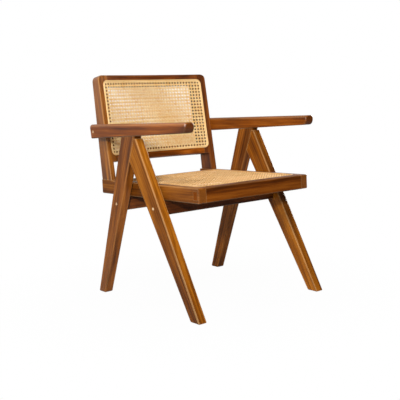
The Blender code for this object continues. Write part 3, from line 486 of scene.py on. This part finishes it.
def fitting(name, noise, colours, roughness, relief, cloud=None, metallic=0.0):
    """Finish of a plug, dowel or screw: fine specks in its colour, roughness and relief."""
    made = Tree(name)
    at = made.mapped()
    specks = made.noise(at, *noise)
    tone = specks
    if cloud:
        tone = made.weighted((specks, 1.0 - CLOUD_SHARE), (made.noise(at, *cloud), CLOUD_SHARE))
    made.shade({"Base Color": made.ramp(tone, colours), "Roughness": made.ramp(specks, roughness)})
    made.shade({"Metallic": metallic})
    made.bump(specks, *relief)
    return made.material


FITTINGS = {
    "_plug": fitting(
        "plug_end_grain", (900.0, 3.0, 0.6),
        ((0.35, srgb(150, 112, 76)), (0.5, srgb(196, 164, 128)), (0.66, srgb(222, 196, 164))),
        ((0.3, 0.5), (0.7, 0.68)), (0.3, 0.0003), cloud=(160.0, 2.0, 0.5)),
    "_dowel": fitting(
        "dowel_wood", (420.0, 3.0, 0.6),
        ((0.3, srgb(176, 136, 92)), (0.7, srgb(214, 180, 134))),
        ((0.3, 0.5), (0.7, 0.65)), (0.25, 0.0003)),
    "_screw": fitting(
        "zinc_steel", (600.0, 4.0, 0.6),
        ((0.3, srgb(150, 152, 156)), (0.7, srgb(206, 207, 210))),
        ((0.3, 0.28), (0.7, 0.46)), (0.15, 0.0002), metallic=1.0),
}
for node in nodes:
    for ending, finish in FITTINGS.items():
        if node.endswith(ending):
            paint(node, finish)

# Peeled cane: the scale of its fibres along and across a strand, and what makes up its tone
CANE_FIBRES = (45.0, 1500.0, 1.0)
CANE_BLOTCHES = 26.0
CANE_NOISE = (3.0, 0.6)
FIBRE_PART, BLOTCH_PART, STRAND_PART = 0.34, 0.30, 0.36
CANE_STOPS = (0.28, 0.48, 0.68)
CANE_ROUGHNESS = ((0.3, 0.36), (0.7, 0.52))
CANE_RELIEF = (0.25, 0.0003)
CANE_SHINE = 0.5


def cane(name, tones, sheer):
    """Peeled cane: fine fibres along each strand, and a tone of its own for each strand."""
    made = Tree(name)
    strand = made.add("ShaderNodeAttribute", attribute_name="strand").outputs["Fac"]
    run = made.add("ShaderNodeUVMap", uv_map="strand_run").outputs["UV"]
    stretch = made.add("ShaderNodeMapping", {"Vector": run, "Scale": CANE_FIBRES})
    fibre = made.noise(stretch.outputs["Vector"], 1.0, *CANE_NOISE)
    blotch = made.noise(made.mapped(), CANE_BLOTCHES, *CANE_NOISE)
    tone = made.weighted((fibre, FIBRE_PART), (blotch, BLOTCH_PART), (strand, STRAND_PART))
    colour = made.ramp(tone, tuple(zip(CANE_STOPS, tones)))
    made.shade({"Base Color": colour, "Roughness": made.ramp(fibre, CANE_ROUGHNESS)})
    made.shade({"Specular IOR Level": CANE_SHINE})
    made.bump(fibre, *CANE_RELIEF)
    through = made.add("ShaderNodeBsdfTranslucent", {"Color": colour})
    made.surface(made.blend(sheer, made.shader.outputs[0], through.outputs[0]))
    return made.material


CANE = cane("woven_cane", (srgb(234, 191, 118), srgb(250, 218, 154), srgb(255, 235, 186)), 0.32)
SEAT_CANE = cane("seat_cane", (srgb(213, 163, 97), srgb(235, 189, 124), srgb(248, 211, 154)), 0.15)
REED = cane("spline_reed", (srgb(226, 176, 104), srgb(244, 200, 132), srgb(252, 220, 164)), 0.10)
SEAT_REED = cane("seat_reed", (srgb(200, 146, 84), srgb(222, 172, 108), srgb(238, 194, 132)), 0.10)


def bow(x):
    """How far the back's faces lie behind the line through the panel's edges."""
    edge = math.sqrt(BOW_RADIUS ** 2 - PANEL_HALF_WIDTH ** 2)
    return math.sqrt(BOW_RADIUS ** 2 - x ** 2) - edge


def back_front(u, v, lift):
    """A point on the front of the back: across, up the lean, and out from the recess floor."""
    out = lift - RECESS_DEPTH
    y = POST_BASE_Y + v * SIN_LEAN - out * COS_LEAN
    z = POST_BASE_Z + v * COS_LEAN + out * SIN_LEAN
    return Vector((u, y + bow(u), z))


REAR_LOW = Vector((
    POST_BASE_Y + POST_BASE_DEPTH * COS_LEAN,
    POST_BASE_Z - POST_BASE_DEPTH * SIN_LEAN,
))
REAR_HIGH = Vector((
    POST_BASE_Y + POST_LENGTH * SIN_LEAN + POST_TOP_DEPTH * COS_LEAN,
    POST_BASE_Z + POST_LENGTH * COS_LEAN - POST_TOP_DEPTH * SIN_LEAN,
))
REAR_RUN = (REAR_HIGH - REAR_LOW).normalized()
REAR_OUT = Vector((REAR_RUN.y, -REAR_RUN.x))


def back_rear(u, v, lift):
    """A point on the rear of the back: across, up the lean, and out from the recess floor."""
    flat = REAR_LOW + REAR_RUN * v + REAR_OUT * (lift - RECESS_DEPTH)
    return Vector((u, flat.x + bow(u), flat.y))


def seat_top(u, v, lift):
    """A point on the seat: across, back from the front, and up from the recess floor."""
    up = lift - RECESS_DEPTH
    y = SEAT_FRONT_Y + v * math.cos(SEAT_FALL) + up * math.sin(SEAT_FALL)
    z = SEAT_FRONT_Z - v * math.sin(SEAT_FALL) + up * math.cos(SEAT_FALL)
    return Vector((u, y, z))


def inside(u, v, field):
    """Whether a point is inside a rectangle with rounded corners."""
    left, right, low, high, radius = field
    if not (left < u < right and low < v < high):
        return False
    du = max(left + radius - u, u - (right - radius), 0.0)
    dv = max(low + radius - v, v - (high - radius), 0.0)
    return du * du + dv * dv < radius * radius


def round_rectangle(field, inset, corner_steps, side_step):
    """Points round a rectangle with rounded corners, drawn in by the inset."""
    left, right, low, high, radius = field
    left, right, low, high = left + inset, right - inset, low + inset, high - inset
    radius = max(radius - inset, LEAST_CORNER)
    path = []
    corners = ((right - radius, high - radius, 0), (left + radius, high - radius, 90),
               (left + radius, low + radius, 180), (right - radius, low + radius, 270))
    for index, (cu, cv, start) in enumerate(corners):
        for step in range(corner_steps + 1):
            angle = math.radians(start + 90 * step / corner_steps)
            path.append((cu + radius * math.cos(angle), cv + radius * math.sin(angle)))
        nu, nv, _ = corners[(index + 1) % len(corners)]
        angle = math.radians(start + 90)
        begin = Vector(path[-1])
        end = Vector((nu + radius * math.cos(angle), nv + radius * math.sin(angle)))
        parts = max(int((end - begin).length / side_step), 1)
        for step in range(1, parts):
            path.append(tuple(begin.lerp(end, step / parts)))
    return path


def placed(name, points, faces, material):
    """A new mesh object in the scene."""
    mesh = bpy.data.meshes.new(name)
    mesh.from_pydata(points, [], faces)
    mesh.update()
    mesh.materials.append(material)
    piece = bpy.data.objects.new(name, mesh)
    bpy.context.scene.collection.objects.link(piece)
    return piece


class Sheet:
    """Gathers strands into one mesh."""

    def __init__(self, name, place, field, material, slot):
        self.name, self.place, self.field = name, place, field
        self.material, self.slot = material, slot
        self.points, self.faces, self.tones, self.runs = [], [], [], []

    def strand(self, path, width, thickness, tone, closed=False):
        """One strand: path holds (u, v, lift) points, the section is a flat lens."""
        count, sides = len(path), len(STRAND_SECTION)
        first = len(self.points)
        run = 0.0
        start = len(self.runs) * RUN_STEP
        for index, (u, v, lift) in enumerate(path):
            before = path[index - 1] if index or closed else path[index]
            after = path[(index + 1) % count] if index < count - 1 or closed else path[index]
            step = Vector((after[0] - before[0], after[1] - before[1]))
            side = Vector((-step.y, step.x)).normalized() * (width / 2)
            if index:
                run += math.dist(path[index][:2], path[index - 1][:2])
            for across, up in STRAND_SECTION:
                spot = (u + side.x * across, v + side.y * across, lift + thickness * up)
                self.points.append(self.place(*spot))
                self.tones.append(tone)
                breadth = width * (across + 1.0) / 2
                self.runs.append((run + start % RUN_SPAN, breadth + start % RUN_WIDTH_SPAN))
        for index in range(count if closed else count - 1):
            here = first + sides * index
            there = first + sides * ((index + 1) % count)
            for corner in range(sides):
                other = (corner + 1) % sides
                self.faces.append((here + corner, there + corner, there + other, here + other))

    def line(self, along, width, tone, reach, steps):
        """One straight strand, cut to the field: along(t) gives its (u, v, lift)."""
        kept = []
        for index in range(steps + 1):
            point = along(-reach + 2 * reach * index / steps)
            if inside(point[0], point[1], self.field):
                kept.append(point)
        if len(kept) > 2:
            self.strand(kept, width, STRAND_THICKNESS, tone)

    def finish(self, *replaced):
        """Make the piece, which stands for the CAD nodes that are named."""
        piece = placed(self.name, self.points, self.faces, self.material)
        mesh = piece.data
        mesh.attributes.new("strand", "FLOAT", "POINT").data.foreach_set("value", self.tones)
        layer = mesh.uv_layers.new(name="strand_run")
        flat = [part for loop in mesh.loops for part in self.runs[loop.vertex_index]]
        layer.data.foreach_set("uv", flat)
        mesh.polygons.foreach_set("use_smooth", [True] * len(mesh.polygons))
        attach(piece, "root")
        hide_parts(*replaced)


def woven(name, place, field, origin, cells, band, steps, seed, mesh=MESH, material=CANE):
    """A sheet of woven cane: paired uprights, paired crossings and two sets of diagonals."""
    chance = random.Random(seed)
    sheet = Sheet(name, place, field, material, "cane")
    left, right, bottom, top, _ = field
    (u0, v0), (columns, rows) = origin, cells
    centre_u, centre_v = (left + right) / 2, (bottom + top) / 2
    reach_u, reach_v = (right - left) / 2 + REACH_SPARE, (top - bottom) / 2 + REACH_SPARE
    cells_u, cells_v = 2 * reach_u / mesh, 2 * reach_v / mesh
    half = STRAND_SPREAD / 2
    for column in range(-SPARE_CELLS, columns + 1):
        for hand in (-1, 1):
            u = u0 + (column + 0.5) * mesh + hand * half

            def upright(t, u=u, hand=hand):
                v = centre_v + t
                phase = math.cos(math.pi * ((v - v0) / mesh - 0.5))
                return (u, v, CANE_LEVEL + hand * WEAVE_RISE * phase)

            sheet.line(upright, STRAND_WIDTH, chance.random(), reach_v, int(cells_v * steps))
    for row in range(-SPARE_CELLS, rows + 1):
        for hand in (-1, 1):
            v = v0 + (row + 0.5) * mesh + hand * half
            sign = 1 if row % 2 else -1

            def crossing(t, v=v, sign=sign):
                u = centre_u + t
                cell = (u - u0) / mesh - 0.5
                off = (cell - round(cell)) * mesh
                turn = max(-1.0, min(1.0, off / half))
                fade = 1.0 - min(abs(off) / (mesh / 2), 1.0)
                return (u, v, CANE_LEVEL + sign * turn * WEAVE_RISE * fade)

            sheet.line(crossing, STRAND_WIDTH, chance.random(), reach_u, int(cells_u * steps))
    span = columns + rows + SPARE_DIAGONALS
    for slope in (1, -1):
        for index in range(-span, span):

            def diagonal(t, slope=slope, index=index):
                u = centre_u + t
                v = v0 + slope * (u - u0) + (index + 0.5) * mesh
                wave = math.cos(2 * math.pi * (u - u0) / mesh)
                return (u, v, CANE_LEVEL - slope * DIAGONAL_RISE * wave)

            sheet.line(diagonal, DIAGONAL_WIDTH, chance.random(), reach_u,
                       int(cells_u * DIAGONAL_STEPS))
    inset = REED_WIDTH - BAND_LAP + band / 2
    rim = round_rectangle(field, inset, BAND_CORNER_STEPS, BAND_SIDE_STEP)
    path = [(u, v, CANE_LEVEL + BAND_LIFT) for u, v in rim]
    sheet.strand(path, band, BAND_THICKNESS, BAND_TONE, closed=True)
    return sheet


def reed(name, place, field, material):
    """The reed pressed in round the edge of a sheet."""
    sheet = Sheet(name, place, field, material, "spline_reed")
    inset = REED_WIDTH / 2 - REED_OVERLAP
    rim = round_rectangle(field, inset, REED_CORNER_STEPS, REED_SIDE_STEP)
    path = [(u, v, REED_LEVEL) for u, v in rim]
    sheet.strand(path, REED_WIDTH, REED_THICKNESS, REED_TONE, closed=True)
    return sheet


def clipped(path, low, high):
    """The part of a path between two places across; the path runs from the left to the right."""
    kept = [path[0]] if low <= path[0][0] <= high else []
    for here, there in zip(path, path[1:]):
        for limit in (high, low):
            if there[0] < limit < here[0]:
                share = (limit - here[0]) / (there[0] - here[0])
                kept.append((limit, here[1] + share * (there[1] - here[1])))
        if low <= there[0] <= high:
            kept.append(there)
    return kept


def seat_rim(half, front, low, high):
    """The edge of a part of the seat, from its left rear round the front to its right rear."""
    rear = SEAT_CANE_REAR - BORDER_GAP
    rim = [(half, rear)]
    for middle, start in ((half - SEAT_CORNER, 0), (SEAT_CORNER - half, -90)):
        for step in range(BORDER_CORNER_STEPS + 1):
            angle = math.radians(start - 90 * step / BORDER_CORNER_STEPS)
            v = front + SEAT_CORNER * (1.0 + math.sin(angle))
            rim.append((middle + SEAT_CORNER * math.cos(angle), v))
    return clipped(rim + [(-half, rear)], low, high)


def seat_border(name, rail, low, high):
    """The wooden border between the recess's edge and the seat's cane, finished as its rail."""
    outer = seat_rim(SEAT_RECESS_HALF - BORDER_GAP, SEAT_RECESS_FRONT + BORDER_GAP, low, high)
    inner = seat_rim(SEAT_CANE_HALF, SEAT_CANE_FRONT, low, high)
    loop = inner + outer[::-1]
    count = len(loop)
    points = [seat_top(u, v, lift) for lift in (RECESS_DEPTH, BORDER_LIFT) for u, v in loop]
    faces = [tuple(range(count)), tuple(range(2 * count - 1, count - 1, -1))]
    for corner in range(count):
        other = (corner + 1) % count
        faces.append((corner, count + corner, count + other, other))
    piece = placed(name, points, faces, nodes[rail].data.materials[0])
    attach(piece, "root")
    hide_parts("seat_spline")


seat_border("front_seat_border", "front_seat_rail", -SEAT_RAIL_INNER, SEAT_RAIL_INNER)
seat_border("right_seat_border", "right_seat_rail", -FAR_ASIDE, -SEAT_RAIL_INNER)
seat_border("left_seat_border", "left_seat_rail", SEAT_RAIL_INNER, FAR_ASIDE)

# The fields that the sheets fill: left, right, low and high edge, and the radius of their corners
BACK_FIELD = (-PANEL_HALF_WIDTH + CANE_INSET, PANEL_HALF_WIDTH - CANE_INSET,
              PANEL_BOTTOM + CANE_INSET, PANEL_TOP - CANE_INSET, PANEL_CORNER - CANE_INSET)
SEAT_FIELD = (-SEAT_CANE_HALF + CANE_INSET, SEAT_CANE_HALF - CANE_INSET,
              SEAT_CANE_FRONT + CANE_INSET, SEAT_CANE_REAR - CANE_INSET, SEAT_CORNER - CANE_INSET)

# Where the meshes lie, from a hole that the photograph shows, and their number of holes; the rear
# sheet's mesh is wider, so that the two weaves line up and part where they do there
BACK_CELLS, SEAT_CELLS = (35, 21), (33, 34)
REAR_MESH = 1.04 * MESH
FRONT_ORIGIN = (-0.2146, PANEL_TOP - 0.0145 - 20 * MESH)
REAR_ORIGIN = (-0.1484 - 4.795 * REAR_MESH, 0.3296 - 17.33 * REAR_MESH)
SEAT_ORIGIN = (-16 * MESH, SEAT_CANE_FRONT + 0.0142)
BACK_BAND, SEAT_BAND = 0.0042, 0.0030
BACK_STEPS, SEAT_STEPS = 4, 2  # points of a strand in each cell of the mesh
FRONT_SEED, REAR_SEED, SEAT_SEED = 5, 6, 7

woven("front_cane_sheet", back_front, BACK_FIELD, FRONT_ORIGIN, BACK_CELLS,
      BACK_BAND, BACK_STEPS, FRONT_SEED).finish("back_front_cane")
woven("rear_cane_sheet", back_rear, BACK_FIELD, REAR_ORIGIN, BACK_CELLS,
      BACK_BAND, BACK_STEPS, REAR_SEED, REAR_MESH).finish("back_rear_cane")
woven("seat_cane_sheet", seat_top, SEAT_FIELD, SEAT_ORIGIN, SEAT_CELLS,
      SEAT_BAND, SEAT_STEPS, SEAT_SEED, material=SEAT_CANE).finish("seat_cane")
reed("front_reed", back_front, BACK_FIELD, REED).finish("back_front_spline")
reed("rear_reed", back_rear, BACK_FIELD, REED).finish("back_rear_spline")
reed("seat_reed", seat_top, SEAT_FIELD, SEAT_REED).finish("seat_spline")

# Lamps: name, place, target, size, power and colour
LAMPS = (
    ("key_light", (-2.35, -2.45, 1.45), (0.0, 0.0, 0.42), 0.28, 100.0, (1.0, 0.97, 0.92)),
    ("top_light", (-1.65, -1.75, 2.35), (0.0, 0.0, 0.4), 0.9, 75.0, (1.0, 0.98, 0.95)),
    ("side_light", (2.9, 0.75, 1.2), (0.0, 0.0, 0.4), 1.4, 70.0, (1.0, 0.98, 0.95)),
)

# The surround is brighter on one side, for its soft light and for what shines in the wood
SOFT_COLOUR, SOFT_AXIS = (1.0, 0.98, 0.95, 1.0), (-0.10, 0.95, 0.30)
SOFT_FROM, SOFT_TO = (-0.1, 0.8), (0.08, 0.90)
GLOSS_COLOUR, GLOSS_AXIS = (0.8, 0.8, 0.8, 1.0), (-0.20, 0.96, 0.18)
GLOSS_FROM, GLOSS_TO = (0.0, 0.6), (0.02, 0.9)

# The floor is white to the camera, but for a share of its own shade close to the chair
FLOOR_HALF = 9.0
FLOOR_LEVEL = -0.0004
FLOOR_COLOUR, FLOOR_ROUGHNESS = (0.34, 0.335, 0.33, 1.0), 0.9
FLOOR_REACH, FLOOR_WHITE = (0.25, 0.85), (0.975, 1.0)

# The camera at the photograph's angle
CAMERA_PLACE = (-1.6936, -2.1713, 0.731)
CAMERA_YAW, CAMERA_PITCH = math.radians(41.086), math.radians(6.043)
CAMERA_ROLL = math.radians(-1.508)
CAMERA_LENS, CAMERA_SENSOR = 67.90, 36.0
CAMERA_SHIFT = (-0.1, -0.075)


def surround():
    """A white surround: soft light from it, a darker one to shine in the wood, white behind all."""
    world = bpy.data.worlds.new("studio")
    world.use_nodes = True
    bpy.context.scene.world = world
    made = Nodes(world.node_tree)
    made.tree.nodes.clear()
    towards = made.add("ShaderNodeTexCoord").outputs["Generated"]
    ray = made.add("ShaderNodeLightPath").outputs
    soft = made.add("ShaderNodeBackground", {
        "Color": SOFT_COLOUR,
        "Strength": made.span(made.dot(towards, SOFT_AXIS), SOFT_FROM, SOFT_TO),
    })
    glossy = made.add("ShaderNodeBackground", {
        "Color": GLOSS_COLOUR,
        "Strength": made.span(made.dot(towards, GLOSS_AXIS), GLOSS_FROM, GLOSS_TO),
    })
    white = made.add("ShaderNodeBackground", {"Color": WHITE})
    lit = made.blend(ray["Is Glossy Ray"], soft.outputs[0], glossy.outputs[0])
    seen = made.math("MAXIMUM", ray["Is Camera Ray"], ray["Is Transmission Ray"])
    result = made.blend(seen, lit, white.outputs[0])
    made.add("ShaderNodeOutputWorld", {"Surface": result})


def lamp(name, place, target, size, power, colour):
    """A round, soft lamp that looks at its target."""
    data = bpy.data.lights.new(name, "AREA")
    data.shape = "DISK"
    data.size = size
    data.energy = power
    data.color = colour
    made = bpy.data.objects.new(name, data)
    made.location = place
    made.rotation_euler = (Vector(target) - Vector(place)).to_track_quat("-Z", "Y").to_euler()
    bpy.context.scene.collection.objects.link(made)


def pale_floor():
    """A pale floor that keeps the chair's shadow."""
    made = Tree("pale_floor")
    made.shade({"Base Color": FLOOR_COLOUR, "Roughness": FLOOR_ROUGHNESS})
    glow = made.add("ShaderNodeEmission").outputs[0]
    away = made.add("ShaderNodeVectorMath", {0: made.place()}, operation="LENGTH")
    white = made.span(away.outputs["Value"], FLOOR_REACH, FLOOR_WHITE)
    seen = made.add("ShaderNodeLightPath").outputs["Is Camera Ray"]
    share = made.math("MULTIPLY", seen, white)
    made.surface(made.blend(share, made.shader.outputs[0], glow))
    corners = [(-FLOOR_HALF, -FLOOR_HALF, 0.0), (FLOOR_HALF, -FLOOR_HALF, 0.0),
               (FLOOR_HALF, FLOOR_HALF, 0.0), (-FLOOR_HALF, FLOOR_HALF, 0.0)]
    floor = placed("studio_floor", corners, [(0, 1, 2, 3)], made.material)
    floor.location = (0.0, 0.0, FLOOR_LEVEL)
    floor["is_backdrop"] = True


def camera():
    """The camera at the photograph's angle."""
    level = math.cos(CAMERA_PITCH)
    ahead = Vector((math.sin(CAMERA_YAW) * level, math.cos(CAMERA_YAW) * level,
                    -math.sin(CAMERA_PITCH)))
    right = Vector((math.cos(CAMERA_YAW), -math.sin(CAMERA_YAW), 0.0))
    up = right.cross(ahead)
    across = right * math.cos(CAMERA_ROLL) + up * math.sin(CAMERA_ROLL)
    above = up * math.cos(CAMERA_ROLL) - right * math.sin(CAMERA_ROLL)
    data = bpy.data.cameras.new("camera")
    data.lens = CAMERA_LENS
    data.sensor_width = CAMERA_SENSOR
    data.shift_x, data.shift_y = CAMERA_SHIFT
    made = bpy.data.objects.new("camera", data)
    turn = Matrix((across, above, -ahead)).transposed().to_4x4()
    made.matrix_world = Matrix.Translation(CAMERA_PLACE) @ turn
    bpy.context.scene.collection.objects.link(made)
    bpy.context.scene.camera = made


bpy.context.scene.view_settings.view_transform = "Standard"
surround()
for row in LAMPS:
    lamp(*row)
pale_floor()
camera()

low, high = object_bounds()
